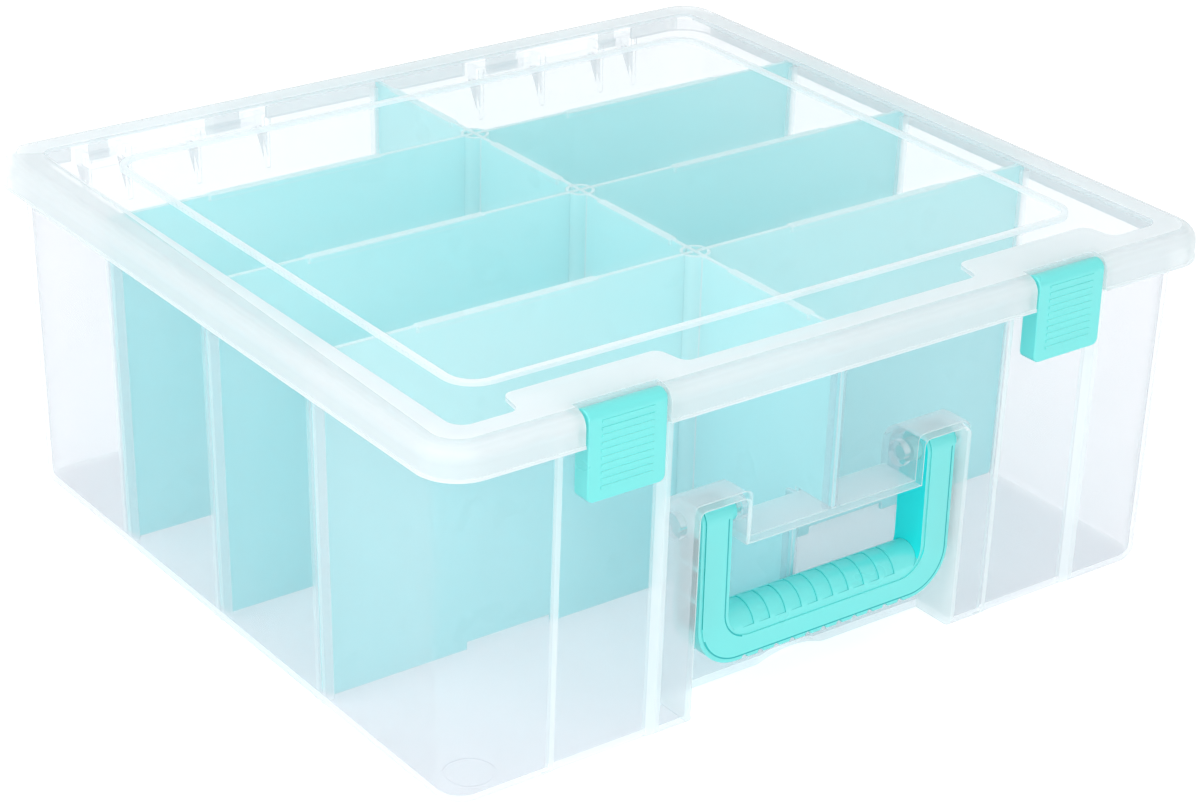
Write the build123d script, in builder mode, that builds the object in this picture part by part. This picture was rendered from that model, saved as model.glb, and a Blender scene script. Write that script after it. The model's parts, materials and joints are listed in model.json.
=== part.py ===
from build123d import *
import os
from math import cos, radians, sin, tan

# Compartment storage box: a clear tray and hinged lid, two latches, a swing handle and seven loose dividers.
# Millimetres. X runs along the front, Y to the back and Z up. The origin is under the middle of the closed box.

os.makedirs("parts", exist_ok=True)

# Closed box
box_width = 387.0
box_depth = 359.0
box_height = 158.0

# Lid shell, a thin wall with a rounded top edge and a bead along the foot of the skirt
lid_wall = 2.0
lid_corner_radius = 18.2
lid_edge_rounding = 6.5
skirt_height = 14.3
bead_height = 1.4
bead_step = 0.4

# Lid top, a raised frame round a lower panel that carries a stacking ridge
frame_width = 16.5
frame_corner_radius = 7.0
panel_drop = 1.8
panel_thickness = 1.6
ridge_side_inset = 38.0
ridge_end_inset = 44.0
ridge_width = 2.8
ridge_corner_radius = 12.6

# Frame plateaus, where the frame widens inwards behind each latch
plateau_width = 71.0
plateau_depth = 31.0
plateau_slant = 2.5
plateau_rounding = 4.5

# Latches, each a shallow cap that hangs from a barrel in a notch of the skirt. Each stands midway between the
# alcove and the side of the box, shifted towards the alcove
latch_shift = 19.55
latch_width = 36.0
latch_height = 37.4
latch_depth = 8.6
latch_wall = 2.0
latch_setback = 0.8
latch_drop = 0.5
latch_side_gap = 1.5
latch_back_gap = 0.5
latch_corner_radius = 3.0
latch_edge_rounding = 0.6
latch_pin_radius = 1.8
latch_pin_inset = 0.3
latch_lip_depth = 3.0
grip_rib_count = 10
grip_rib_pitch = 3.0
grip_rib_length = 24.0
grip_rib_width = 1.2
grip_rib_height = 0.3
grip_rib_foot = 5.5

# Catches, a wedge on the tray and a ridge inside the latch that meets it from below
catch_width = 22.0
catch_height = 2.6
catch_reach = 2.8
catch_gap = 0.3
catch_drop = 14.7

# Tray, drafted walls that open upwards
wall_draft = 1.04
tray_wall = 2.0
tray_floor = 2.6
tray_rim_inset = 7.4
tray_base_corner_radius = 13.6
tray_bottom_rounding = 5.0
tray_inner_rounding = 3.0
lid_seat_gap = 0.3

# Latch channels, shallow flutes in the front wall behind each latch
channel_width = 48.5
channel_depth = 3.2
channel_slant = 2.0
pocket_gap = 1.2
pocket_seat_gap = 0.5

# Alcove for the handle, an inverted U with a shelf in the middle and a tower over each handle arm
alcove_width = 138.0
alcove_depth = 22.2
tower_width = 23.5
tower_height = 95.0
tower_rounding = 9.5
shelf_height = 74.5
shelf_rounding = 1.0
base_arch_width = 34.0
base_arch_height = 3.4
base_arch_depth = 7.0

# Handle, a U that swings out of the alcove about two pins in each tower
handle_depth = 16.8
handle_back_gap = 3.4
handle_top_gap = 0.6
handle_bottom = 20.8
handle_outer_gap = 3.7
handle_inner_gap = 4.9
handle_outer_radius = 20.0
handle_inner_radius = 11.0
bar_height = 21.8
crest_setback = 10.3
bar_back_drop = 4.0
face_border = 1.8
face_step = 0.5
pivot_pin_radius = 3.0
pivot_pin_reach = 3.0
pivot_end_gap = 0.4
pivot_side_gap = 0.3
pivot_shoulder_radius = 4.8
pivot_boss_radius = 5.6
pivot_boss_wall = 1.5
core_count = 3
core_rise = 17.2
core_depth = 10.0
core_edge = 2.6
core_rib = 2.0

# Grip, shallow scallops over the crest that end in a step on their right, and notches along the lower edge
grip_pitch = 8.2
scallop_count = 10
scallop_width = 7.0
scallop_depth = 0.6
scallop_start_angle = 16.0
scallop_arc = 88.0
finger_notch_count = 11
finger_notch_radius = 1.5

# Dividers and their tracks
divider_thickness = 2.0
divider_top_gap = 0.3
divider_end_gap = 0.8
divider_foot_chamfer = 3.5
divider_shelf_gap = 0.5
back_row_inset = 82.5
row_pitch = 80.5
lip_thickness = 4.2
lip_height = 2.6
long_lip_length = 51.0
cross_lip_length = 86.0
cross_lip_middle = 93.0
foot_notch_length = 42.0
foot_notch_height = 3.5
post_radius = 6.4
post_wall = 1.5
slot_gap = 0.3
track_rib_thickness = 2.2
track_rib_reach = 4.0
track_top_gap = 4.0

# Hinge at the back, hooks on the lid that clip over bars on the tray
hinge_rise = 1.3
hinge_setback = 3.5
hinge_bar_radius = 1.9
hook_radius = 3.5
hook_arm_thickness = 3.6
hook_mouth = 3.2
hook_mouth_angle = 45.0
hinge_shelf_thickness = 2.0
hinge_shelf_drop = 2.0
hinge_bracket_thickness = 3.0
hinge_bracket_radius = 3.3
hinge_side_gap = 1.0
hinge_window_height = 9.3
hinge_window_gap = 3.0
gusset_height = 18.0
gusset_thickness = 2.2
# Each bar runs between two brackets at these distances from the side of the box, with a hook on its middle
inner_bar_insets = (134.5, 98.5)
inner_hook_width = 18.0
outer_bar_insets = (63.5, 43.5)
outer_hook_width = 10.0

# Ring mark moulded on the floor in the front left corner
ring_side_inset = 30.0
ring_front_inset = 26.9
ring_radius = 10.5
ring_width = 1.2
ring_height = 0.3

# Radial clearance of every pin in its hole
running_clearance = 0.06

# How far a cut runs past the face that it opens
overrun = 1.0

# Heights and places that follow from the sizes
draft_slope = tan(radians(wall_draft))
lid_base = box_height - skirt_height
panel_top = box_height - panel_drop
panel_underside = panel_top - panel_thickness
frame_underside = box_height - lid_wall
tray_height = frame_underside - lid_seat_gap
base_half_width = box_width / 2 - tray_rim_inset - tray_height * draft_slope
base_half_depth = box_depth / 2 - tray_rim_inset - tray_height * draft_slope
lid_front = -box_depth / 2

latch_offset = (alcove_width / 2 + box_width / 2) / 2 - latch_shift
latch_front = lid_front + latch_setback
latch_back = latch_front + latch_depth
latch_barrel_radius = latch_depth / 2
latch_pivot_y = latch_front + latch_barrel_radius
latch_pivot_z = box_height - latch_drop - latch_barrel_radius
latch_bottom = box_height - latch_drop - latch_height
latch_pin_length = latch_side_gap + lid_wall - latch_pin_inset
notch_width = latch_width + 2 * latch_side_gap
notch_back = latch_back + latch_back_gap
pocket_width = notch_width + 2 * lid_wall
pocket_back = notch_back + lid_wall
catch_level = lid_base - catch_drop

tower_inner = alcove_width / 2 - tower_width
pivot_height = tower_height - handle_top_gap - handle_depth / 2
handle_half_width = alcove_width / 2 - handle_outer_gap
arm_width = tower_width - handle_outer_gap - handle_inner_gap
arm_inner = handle_half_width - arm_width
bar_crest = handle_bottom + bar_height
crest_centre = bar_crest - crest_setback

divider_top = panel_underside - divider_top_gap
divider_inset = tray_wall + divider_end_gap
track_gap = divider_thickness + 2 * slot_gap
track_top = tray_height - track_top_gap
shelf_top = shelf_height + tray_wall
hinge_y = box_depth / 2 - hinge_setback
hinge_height = lid_base + hinge_rise
hinge_shelf_surface = hinge_height - hinge_shelf_drop
hinge_spans = [
    (box_width / 2 - insets[0], box_width / 2 - insets[1], hook)
    for insets, hook in ((inner_bar_insets, inner_hook_width), (outer_bar_insets, outer_hook_width))
]
bar_ends = [end for span in hinge_spans for end in span[:2]]


def side_wall(height):
    """Distance of the side wall's outer face from the middle plane at this height."""
    return base_half_width + height * draft_slope


def end_wall(height):
    """Distance of the front or back wall's outer face from the middle plane at this height."""
    return base_half_depth + height * draft_slope


def alcove_back(height):
    """Y of the alcove's back face, which leans with the front wall."""
    return alcove_depth - end_wall(height)


handle_back = alcove_back(0) - handle_back_gap
handle_front = handle_back - handle_depth
pivot_y = handle_back - handle_depth / 2
crest_y = handle_front + crest_setback
catch_wall = channel_depth - end_wall(catch_level)
arch_end = alcove_back(0) + base_arch_depth
inner_back = end_wall(tray_height) - tray_wall
rows = {
    "back": inner_back - back_row_inset,
    "middle": inner_back - back_row_inset - row_pitch,
    "front": inner_back - back_row_inset - 2 * row_pitch,
}


def alcove_outline(x, height, growth, rounding):
    """Front-to-back outline of the alcove on the plane at x, grown by a wall for its housing."""
    with BuildSketch(Plane.YZ.offset(x)) as outline:
        with BuildLine():
            Polyline(
                (lid_front, -overrun),
                (alcove_back(-overrun) + growth, -overrun),
                (alcove_back(height + growth) + growth, height + growth),
                (lid_front, height + growth),
                close=True,
            )
        make_face()
        top_corner = outline.vertices().group_by(Axis.Y)[-1].sort_by(Axis.X)[-1]
        fillet(top_corner, rounding + growth)
    return outline.sketch


def channel_outline(middle, height, growth):
    """Plan of a latch channel at this height, grown by a wall for its backing."""
    face = -end_wall(height)
    half = channel_width / 2
    with BuildSketch(Plane.XY.offset(height)) as outline:
        with BuildLine():
            Polyline(
                (middle - half, face - tray_rim_inset / 2),
                (middle + half, face - tray_rim_inset / 2),
                (middle + half, face),
                (middle + half - channel_slant, face + channel_depth),
                (middle - half + channel_slant, face + channel_depth),
                (middle - half, face),
                close=True,
            )
        make_face()
        if growth > 0:
            offset(amount=growth, kind=Kind.INTERSECTION)
    return outline.sketch


def arch_outline(y, growth):
    """Low arch over the middle of the alcove's foot, on the plane at y, grown by a wall for its cover."""
    half = base_arch_width / 2 + growth
    with BuildSketch(Plane.XZ.offset(-y)) as outline:
        with BuildLine():
            ThreePointArc((-half, 0), (0, base_arch_height + growth), (half, 0))
            Line((half, 0), (-half, 0))
        make_face()
    return outline.sketch


# Space inside the tray, less the housings of the alcove and the backs of the channels
with BuildPart() as tray_hollow:
    with BuildSketch(Plane.XY.offset(tray_floor)):
        RectangleRounded(
            2 * (side_wall(tray_floor) - tray_wall),
            2 * (end_wall(tray_floor) - tray_wall),
            tray_base_corner_radius + tray_floor * draft_slope - tray_wall,
        )
    extrude(amount=tray_height, taper=-wall_draft)
    fillet(tray_hollow.faces().sort_by(Axis.Z)[0].edges(), tray_inner_rounding)
    for start in (tower_inner - tray_wall, -alcove_width / 2 - tray_wall):
        extrude(
            alcove_outline(start, tower_height, tray_wall, tower_rounding),
            amount=tower_width + 2 * tray_wall,
            mode=Mode.SUBTRACT,
        )
    extrude(
        alcove_outline(-tower_inner, shelf_height, tray_wall, shelf_rounding),
        amount=2 * tower_inner,
        mode=Mode.SUBTRACT,
    )
    for middle in (-latch_offset, latch_offset):
        loft(
            [channel_outline(middle, 0, tray_wall), channel_outline(middle, 2 * tray_height, tray_wall)],
            ruled=True,
            mode=Mode.SUBTRACT,
        )
    extrude(
        arch_outline(arch_end + tray_wall, tray_wall),
        amount=base_arch_depth + tray_wall,
        mode=Mode.SUBTRACT,
    )

# Tray
with BuildPart() as tray:
    with BuildSketch():
        RectangleRounded(2 * base_half_width, 2 * base_half_depth, tray_base_corner_radius)
    extrude(amount=tray_height, taper=-wall_draft)
    fillet(tray.faces().sort_by(Axis.Z)[0].edges(), tray_bottom_rounding)
    add(tray_hollow.part, mode=Mode.SUBTRACT)

    # Alcove and the low arch at its foot
    for start in (tower_inner, -alcove_width / 2):
        extrude(
            alcove_outline(start, tower_height, 0, tower_rounding),
            amount=tower_width,
            mode=Mode.SUBTRACT,
        )
    extrude(
        alcove_outline(-tower_inner, shelf_height, 0, shelf_rounding),
        amount=2 * tower_inner,
        mode=Mode.SUBTRACT,
    )
    extrude(arch_outline(arch_end, 0), amount=base_arch_depth + overrun, mode=Mode.SUBTRACT)

    # Latch channels, and the rim cut down behind them for the lid's latch pockets
    for middle in (-latch_offset, latch_offset):
        loft(
            [channel_outline(middle, -overrun, 0), channel_outline(middle, tray_height + overrun, 0)],
            ruled=True,
            mode=Mode.SUBTRACT,
        )
        with BuildSketch(Plane.XY.offset(lid_base - pocket_seat_gap)):
            with Locations((middle, -base_half_depth)):
                Rectangle(pocket_width + 2 * pocket_gap, 2 * (alcove_depth - tray_wall))
        extrude(amount=tray_height, mode=Mode.SUBTRACT)
        # Catch, a wedge on the channel's face
        with BuildSketch(Plane.YZ.offset(middle - catch_width / 2)):
            with BuildLine():
                Polyline(
                    (catch_wall + tray_wall / 2, catch_level),
                    (catch_wall - catch_reach, catch_level),
                    (catch_wall - catch_reach, catch_level + catch_height / 2),
                    (catch_wall - catch_reach / 3, catch_level + 2 * catch_height),
                    (catch_wall + tray_wall / 2, catch_level + 2 * catch_height),
                    close=True,
                )
            make_face()
        extrude(amount=catch_width)

    # Tracks on the side walls, a pair of ribs for each row
    rib_offset = (track_gap + track_rib_thickness) / 2
    for row in rows.values():
        for rib in (row - rib_offset, row + rib_offset):
            with BuildSketch(Plane.XZ.offset(-rib - track_rib_thickness / 2)):
                with BuildLine():
                    Polyline(
                        (side_wall(0) - tray_wall / 2, tray_floor / 2),
                        (side_wall(track_top) - tray_wall / 2, track_top),
                        (side_wall(track_top) - tray_wall - track_rib_reach, track_top),
                        (side_wall(0) - tray_wall - track_rib_reach, tray_floor / 2),
                        close=True,
                    )
                make_face()
                mirror(about=Plane.YZ)
            extrude(amount=track_rib_thickness)

    # Tracks for the long divider on the back wall, the alcove's back and the front wall over the shelf
    for rib in (-rib_offset, rib_offset):
        with BuildSketch(Plane.YZ.offset(rib - track_rib_thickness / 2)):
            with BuildLine():
                Polyline(
                    (end_wall(0) - tray_wall / 2, tray_floor / 2),
                    (end_wall(track_top) - tray_wall / 2, track_top),
                    (end_wall(track_top) - tray_wall - track_rib_reach, track_top),
                    (end_wall(0) - tray_wall - track_rib_reach, tray_floor / 2),
                    close=True,
                )
            make_face()
            with BuildLine():
                Polyline(
                    (alcove_back(shelf_top) + tray_wall / 2, shelf_top - tray_wall / 2),
                    (alcove_back(0) + tray_wall / 2, tray_floor / 2),
                    (alcove_back(0) + tray_wall + track_rib_reach, tray_floor / 2),
                    (alcove_back(shelf_top) + tray_wall + track_rib_reach, shelf_top - tray_wall / 2),
                    close=True,
                )
            make_face()
            with BuildLine():
                Polyline(
                    (tray_wall / 2 - end_wall(track_top), track_top),
                    (tray_wall / 2 - end_wall(shelf_top), shelf_top - tray_wall / 2),
                    (tray_wall + track_rib_reach - end_wall(shelf_top), shelf_top - tray_wall / 2),
                    (tray_wall + track_rib_reach - end_wall(track_top), track_top),
                    close=True,
                )
            make_face()
        extrude(amount=track_rib_thickness)
    # The arch stays open where the tracks cross its cover
    extrude(arch_outline(arch_end, 0), amount=base_arch_depth + overrun, mode=Mode.SUBTRACT)

    # Sockets for the handle's pins, blind bosses on both sides of each tower
    socket_depth = pivot_pin_reach + pivot_end_gap
    boss_length = socket_depth + pivot_boss_wall
    for face, way in (
        (tower_inner, -1),
        (-tower_inner, 1),
        (alcove_width / 2, 1),
        (-alcove_width / 2, -1),
    ):
        with BuildSketch(Plane.YZ.offset(face)):
            with Locations((pivot_y, pivot_height)):
                Circle(pivot_boss_radius)
        extrude(amount=way * boss_length)
        with BuildSketch(Plane.YZ.offset(face)):
            with Locations((pivot_y, pivot_height)):
                Circle(pivot_pin_radius + running_clearance)
        extrude(amount=way * socket_depth, mode=Mode.SUBTRACT)

    # Hinge shelf, gussets, brackets and bars at the back
    hinge_shelf_base = hinge_shelf_surface - hinge_shelf_thickness
    for side in (-1, 1):
        with BuildSketch(Plane.XY.offset(hinge_shelf_base)):
            with BuildLine():
                Polyline(
                    (side * (bar_ends[0] - hinge_bracket_thickness / 2), end_wall(0)),
                    (side * (bar_ends[-1] + hinge_bracket_thickness / 2), end_wall(0)),
                    (side * (bar_ends[-1] + hinge_bracket_thickness / 2), hinge_y + hinge_bracket_radius),
                    (side * (bar_ends[0] - hinge_bracket_thickness / 2), hinge_y + hinge_bracket_radius),
                    close=True,
                )
            make_face()
        extrude(amount=hinge_shelf_thickness)
        for inner, outer, hook in hinge_spans:
            middle = side * (inner + outer) / 2
            with BuildSketch(Plane.XY.offset(hinge_shelf_base)):
                with Locations((middle, hinge_y)):
                    Rectangle(hook + 2 * hinge_side_gap, 2 * (hinge_y - end_wall(hinge_height)))
            extrude(amount=hinge_shelf_thickness, mode=Mode.SUBTRACT)
            with BuildSketch(Plane.YZ.offset(middle - (outer - inner) / 2)):
                with Locations((hinge_y, hinge_height)):
                    Circle(hinge_bar_radius)
            extrude(amount=outer - inner)
        for bracket in bar_ends:
            with BuildSketch(Plane.YZ.offset(side * bracket - hinge_bracket_thickness / 2)):
                with BuildLine():
                    Polyline(
                        (end_wall(0), hinge_shelf_base),
                        (hinge_y + hinge_bracket_radius, hinge_shelf_base),
                        (hinge_y + hinge_bracket_radius, hinge_height + hinge_bracket_radius),
                        (end_wall(0), hinge_height + hinge_bracket_radius),
                        close=True,
                    )
                make_face()
            extrude(amount=hinge_bracket_thickness)
            with BuildSketch(Plane.YZ.offset(side * bracket - gusset_thickness / 2)):
                with BuildLine():
                    Polyline(
                        (end_wall(0), hinge_shelf_base - gusset_height),
                        (hinge_y + hinge_bracket_radius, hinge_shelf_base),
                        (end_wall(0), hinge_shelf_base),
                        close=True,
                    )
                make_face()
            extrude(amount=gusset_thickness)

    # Plain ring on the floor
    with BuildSketch(Plane.XY.offset(tray_floor)):
        with Locations((ring_side_inset - box_width / 2, ring_front_inset + lid_front)):
            Circle(ring_radius)
            Circle(ring_radius - ring_width, mode=Mode.SUBTRACT)
    extrude(amount=ring_height)

tray.part.label = "tray"
export_step(tray.part, "parts/tray.step")

# Outline of the lid's lower panel, a rounded rectangle less the plateaus
with BuildSketch() as panel_outline:
    RectangleRounded(box_width - 2 * frame_width, box_depth - 2 * frame_width, frame_corner_radius)
    for middle in (-latch_offset, latch_offset):
        with BuildLine():
            Polyline(
                (middle - plateau_width / 2, lid_front + plateau_depth),
                (middle + plateau_width / 2, lid_front + plateau_depth),
                (middle + plateau_width / 2 + plateau_slant, lid_front + frame_width - overrun),
                (middle - plateau_width / 2 - plateau_slant, lid_front + frame_width - overrun),
                close=True,
            )
        make_face(mode=Mode.SUBTRACT)
    plateau_end = latch_offset + plateau_width / 2 + plateau_slant + overrun
    plateau_corners = panel_outline.vertices().filter_by_position(Axis.X, -plateau_end, plateau_end)
    fillet(plateau_corners.filter_by_position(Axis.Y, lid_front, 0), plateau_rounding)

# Space inside the lid, less the panel's step and the latch pockets
with BuildPart() as lid_hollow:
    with BuildSketch(Plane.XY.offset(lid_base)):
        RectangleRounded(
            box_width - 2 * bead_step - 2 * lid_wall,
            box_depth - 2 * bead_step - 2 * lid_wall,
            lid_corner_radius - bead_step - lid_wall,
        )
    extrude(amount=frame_underside - lid_base)
    fillet(lid_hollow.faces().sort_by(Axis.Z)[-1].edges(), lid_edge_rounding - lid_wall)
    with BuildSketch(Plane.XY.offset(panel_underside)):
        add(panel_outline.sketch)
        offset(amount=lid_wall)
    extrude(amount=lid_wall, mode=Mode.SUBTRACT)
    for middle in (-latch_offset, latch_offset):
        with BuildSketch(Plane.XY.offset(lid_base)):
            with Locations((middle, (lid_front + pocket_back) / 2)):
                Rectangle(pocket_width, pocket_back - lid_front)
        extrude(amount=skirt_height, mode=Mode.SUBTRACT)

# Lid
with BuildPart() as lid:
    with BuildSketch(Plane.XY.offset(lid_base)):
        RectangleRounded(box_width - 2 * bead_step, box_depth - 2 * bead_step, lid_corner_radius - bead_step)
    extrude(amount=skirt_height)
    fillet(lid.faces().sort_by(Axis.Z)[-1].edges(), lid_edge_rounding)
    with BuildSketch(Plane.XY.offset(lid_base)):
        RectangleRounded(box_width, box_depth, lid_corner_radius)
    extrude(amount=bead_height)
    add(lid_hollow.part, mode=Mode.SUBTRACT)

    # Panel recess and its ridge
    with BuildSketch(Plane.XY.offset(panel_top)):
        add(panel_outline.sketch)
    extrude(amount=panel_drop, mode=Mode.SUBTRACT)
    with BuildSketch(Plane.XY.offset(panel_top)):
        RectangleRounded(
            box_width - 2 * ridge_side_inset + ridge_width,
            box_depth - 2 * ridge_end_inset + ridge_width,
            ridge_corner_radius + ridge_width / 2,
        )
        RectangleRounded(
            box_width - 2 * ridge_side_inset - ridge_width,
            box_depth - 2 * ridge_end_inset - ridge_width,
            ridge_corner_radius - ridge_width / 2,
            mode=Mode.SUBTRACT,
        )
    extrude(amount=panel_drop)

    # Notches for the latches, with the holes for their pins
    for middle in (-latch_offset, latch_offset):
        with BuildSketch(Plane.XY.offset(lid_base)):
            with Locations((middle, (lid_front + notch_back) / 2)):
                Rectangle(notch_width, notch_back - lid_front)
        extrude(amount=skirt_height, mode=Mode.SUBTRACT)
        with BuildSketch(Plane.YZ.offset(middle - pocket_width / 2)):
            with Locations((latch_pivot_y, latch_pivot_z)):
                Circle(latch_pin_radius + running_clearance)
        extrude(amount=pocket_width, mode=Mode.SUBTRACT)

    # Windows in the back of the skirt, and the hooks that hang in them
    window_start = bar_ends[0] - hinge_bracket_thickness / 2 - hinge_window_gap
    window_end = bar_ends[-1] + hinge_bracket_thickness / 2 + hinge_window_gap
    for side in (-1, 1):
        with BuildSketch(Plane.XY.offset(lid_base)):
            with Locations((side * (window_start + window_end) / 2, box_depth / 2)):
                Rectangle(window_end - window_start, 2 * tray_rim_inset)
        extrude(amount=hinge_window_height, mode=Mode.SUBTRACT)
        for inner, outer, hook in hinge_spans:
            middle = side * (inner + outer) / 2
            with BuildSketch(Plane.YZ.offset(middle - hook / 2)):
                with Locations((hinge_y, hinge_height)):
                    Circle(hook_radius)
                with Locations((hinge_y + hook_radius - hook_arm_thickness / 2, hinge_height)):
                    Rectangle(
                        hook_arm_thickness,
                        hinge_window_height + lid_wall / 2 - hinge_rise,
                        align=(Align.CENTER, Align.MIN),
                    )
                with Locations((hinge_y, hinge_height)):
                    Circle(hinge_bar_radius + running_clearance, mode=Mode.SUBTRACT)
                    Rectangle(
                        hook_mouth,
                        2 * hook_radius,
                        rotation=-hook_mouth_angle,
                        align=(Align.CENTER, Align.MAX),
                        mode=Mode.SUBTRACT,
                    )
            extrude(amount=hook)

lid.part.label = "lid"
export_step(lid.part, "parts/lid.step")

# Latches
for name, side in (("latch_left", -1), ("latch_right", 1)):
    middle = side * latch_offset
    with BuildPart() as latch:
        # Side outline, a flat front under a round barrel
        with BuildSketch(Plane.YZ.offset(middle - latch_width / 2)):
            with BuildLine():
                Line((latch_front, latch_pivot_z), (latch_front, latch_bottom))
                Line((latch_front, latch_bottom), (latch_back, latch_bottom))
                Line((latch_back, latch_bottom), (latch_back, latch_pivot_z))
                ThreePointArc(
                    (latch_back, latch_pivot_z),
                    (latch_pivot_y, latch_pivot_z + latch_barrel_radius),
                    (latch_front, latch_pivot_z),
                )
            make_face()
        extrude(amount=latch_width)
        fillet(latch.edges().filter_by(Axis.Y).group_by(Axis.Z)[0], latch_corner_radius)
        fillet(latch.faces().filter_by(Axis.Y).sort_by(Axis.Y)[0].edges().filter_by(Axis.Z), latch_edge_rounding)

        # Hollow behind the face, under the barrel
        with BuildSketch(Plane.YZ.offset(middle - latch_width / 2 + latch_wall)):
            with BuildLine():
                Polyline(
                    (latch_front + latch_wall, latch_bottom + latch_wall),
                    (latch_front + latch_wall, latch_pivot_z - latch_barrel_radius),
                    (latch_back + overrun, latch_pivot_z - latch_barrel_radius),
                    (latch_back + overrun, latch_bottom - overrun),
                    (latch_front + latch_lip_depth + latch_wall, latch_bottom - overrun),
                    (latch_front + latch_lip_depth + latch_wall, latch_bottom + latch_wall),
                    close=True,
                )
            make_face()
        extrude(amount=latch_width - 2 * latch_wall, mode=Mode.SUBTRACT)

        # Ridge that hooks under the tray's catch
        ridge_tip = catch_wall - catch_reach - catch_gap
        with BuildSketch(Plane.YZ.offset(middle - latch_width / 2 + latch_wall)):
            with BuildLine():
                Polyline(
                    (latch_front + latch_wall / 2, catch_level - catch_gap),
                    (ridge_tip, catch_level - catch_gap),
                    (ridge_tip, catch_level - catch_gap - catch_height / 2),
                    (latch_front + latch_wall / 2, catch_level - catch_gap - 2 * catch_height),
                    close=True,
                )
            make_face()
        extrude(amount=latch_width - 2 * latch_wall)

        # Pins at both ends of the barrel
        with BuildSketch(Plane.YZ.offset(middle - latch_width / 2 - latch_pin_length)):
            with Locations((latch_pivot_y, latch_pivot_z)):
                Circle(latch_pin_radius)
        extrude(amount=latch_width + 2 * latch_pin_length)

        # Grip ribs across the face
        with BuildSketch(Plane.XZ.offset(-latch_front)):
            grip_middle = latch_bottom + grip_rib_foot + (grip_rib_count - 1) * grip_rib_pitch / 2
            with Locations((middle, grip_middle)):
                with GridLocations(grip_rib_length, grip_rib_pitch, 1, grip_rib_count):
                    Rectangle(grip_rib_length, grip_rib_width)
        extrude(amount=grip_rib_height)
    latch.part.label = name
    export_step(latch.part, f"parts/{name}.step")

# Room over the grip: inside the U seen from the front, and above the grip's section seen from the side
with BuildPart() as grip_space:
    with BuildSketch(Plane.XZ.offset(-handle_back - overrun)) as grip_opening:
        with Locations((0, crest_centre)):
            Rectangle(2 * arm_inner, pivot_height, align=(Align.CENTER, Align.MIN))
        fillet(grip_opening.vertices().group_by(Axis.Y)[0], handle_inner_radius)
    extrude(amount=handle_depth + 2 * overrun)
    with BuildSketch(Plane.YZ.offset(-arm_inner)):
        with BuildLine():
            RadiusArc((handle_front, crest_centre), (crest_y, bar_crest), crest_setback)
            TangentArc((crest_y, bar_crest), (handle_back, bar_crest - bar_back_drop), tangent=(1, 0))
            Polyline(
                (handle_back, bar_crest - bar_back_drop),
                (handle_back + overrun, bar_crest - bar_back_drop),
                (handle_back + overrun, 2 * pivot_height),
                (handle_front - overrun, 2 * pivot_height),
                (handle_front - overrun, crest_centre),
                (handle_front, crest_centre),
            )
        make_face()
    extrude(amount=2 * arm_inner, mode=Mode.INTERSECT)

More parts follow.
